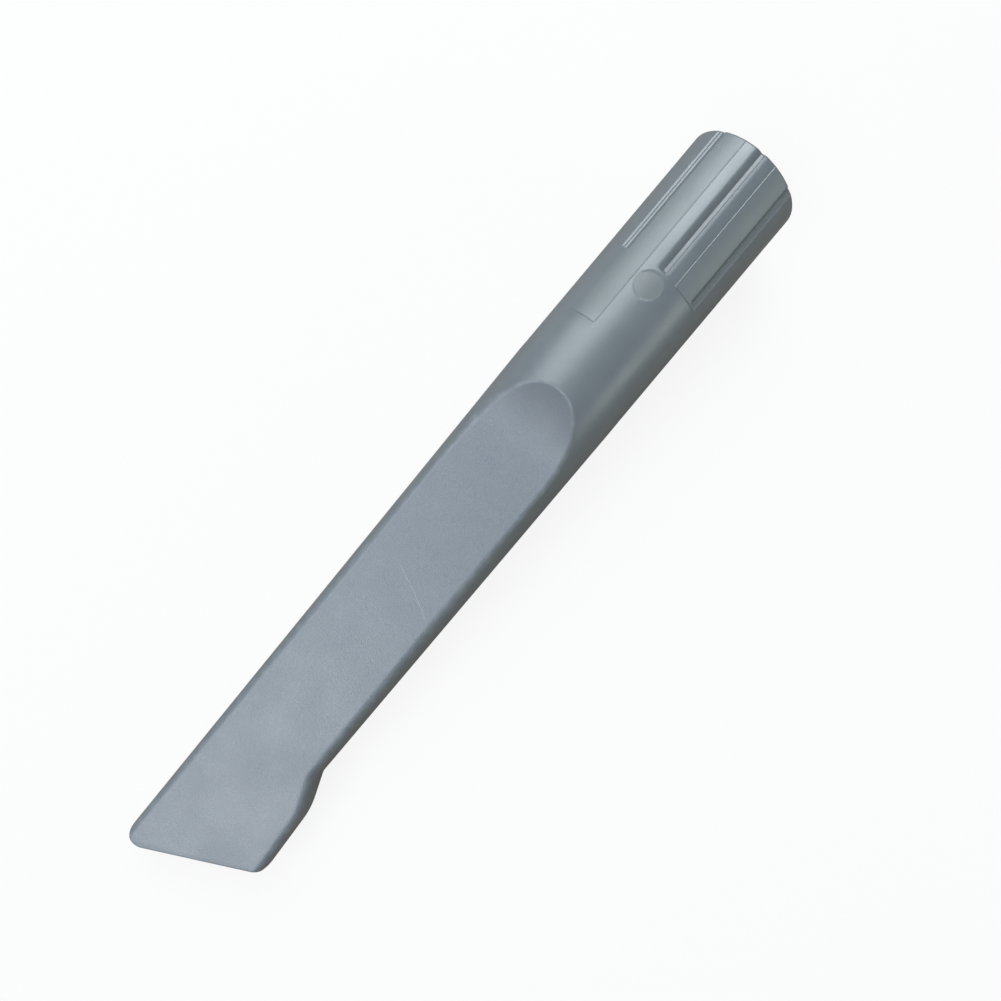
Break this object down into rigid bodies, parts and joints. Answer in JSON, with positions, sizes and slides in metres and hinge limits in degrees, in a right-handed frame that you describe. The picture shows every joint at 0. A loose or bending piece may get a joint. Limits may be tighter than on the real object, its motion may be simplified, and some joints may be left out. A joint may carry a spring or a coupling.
{
  "type": "vacuum crevice tool",
  "caption": "Moulded vacuum crevice tool: a round socket that slides over a wand, scooped into a long flat nozzle that flares to one side and ends in a slanted slot.",
  "frame": {"origin": "centre of the socket's mouth, on the tube's axis", "axes": "+X along the tube's axis to the tip, +Y to the side that the tip flares to, +Z square to the flats, up"},
  "size_m": [0.2648, 0.0415, 0.0364],
  "materials": {
    "grey_plastic": "moulded satin, fine-grained on the flats"
  },
  "bodies": {
    "root": {"crevice_tool": "grey_plastic"}
  },
  "joints": []
}
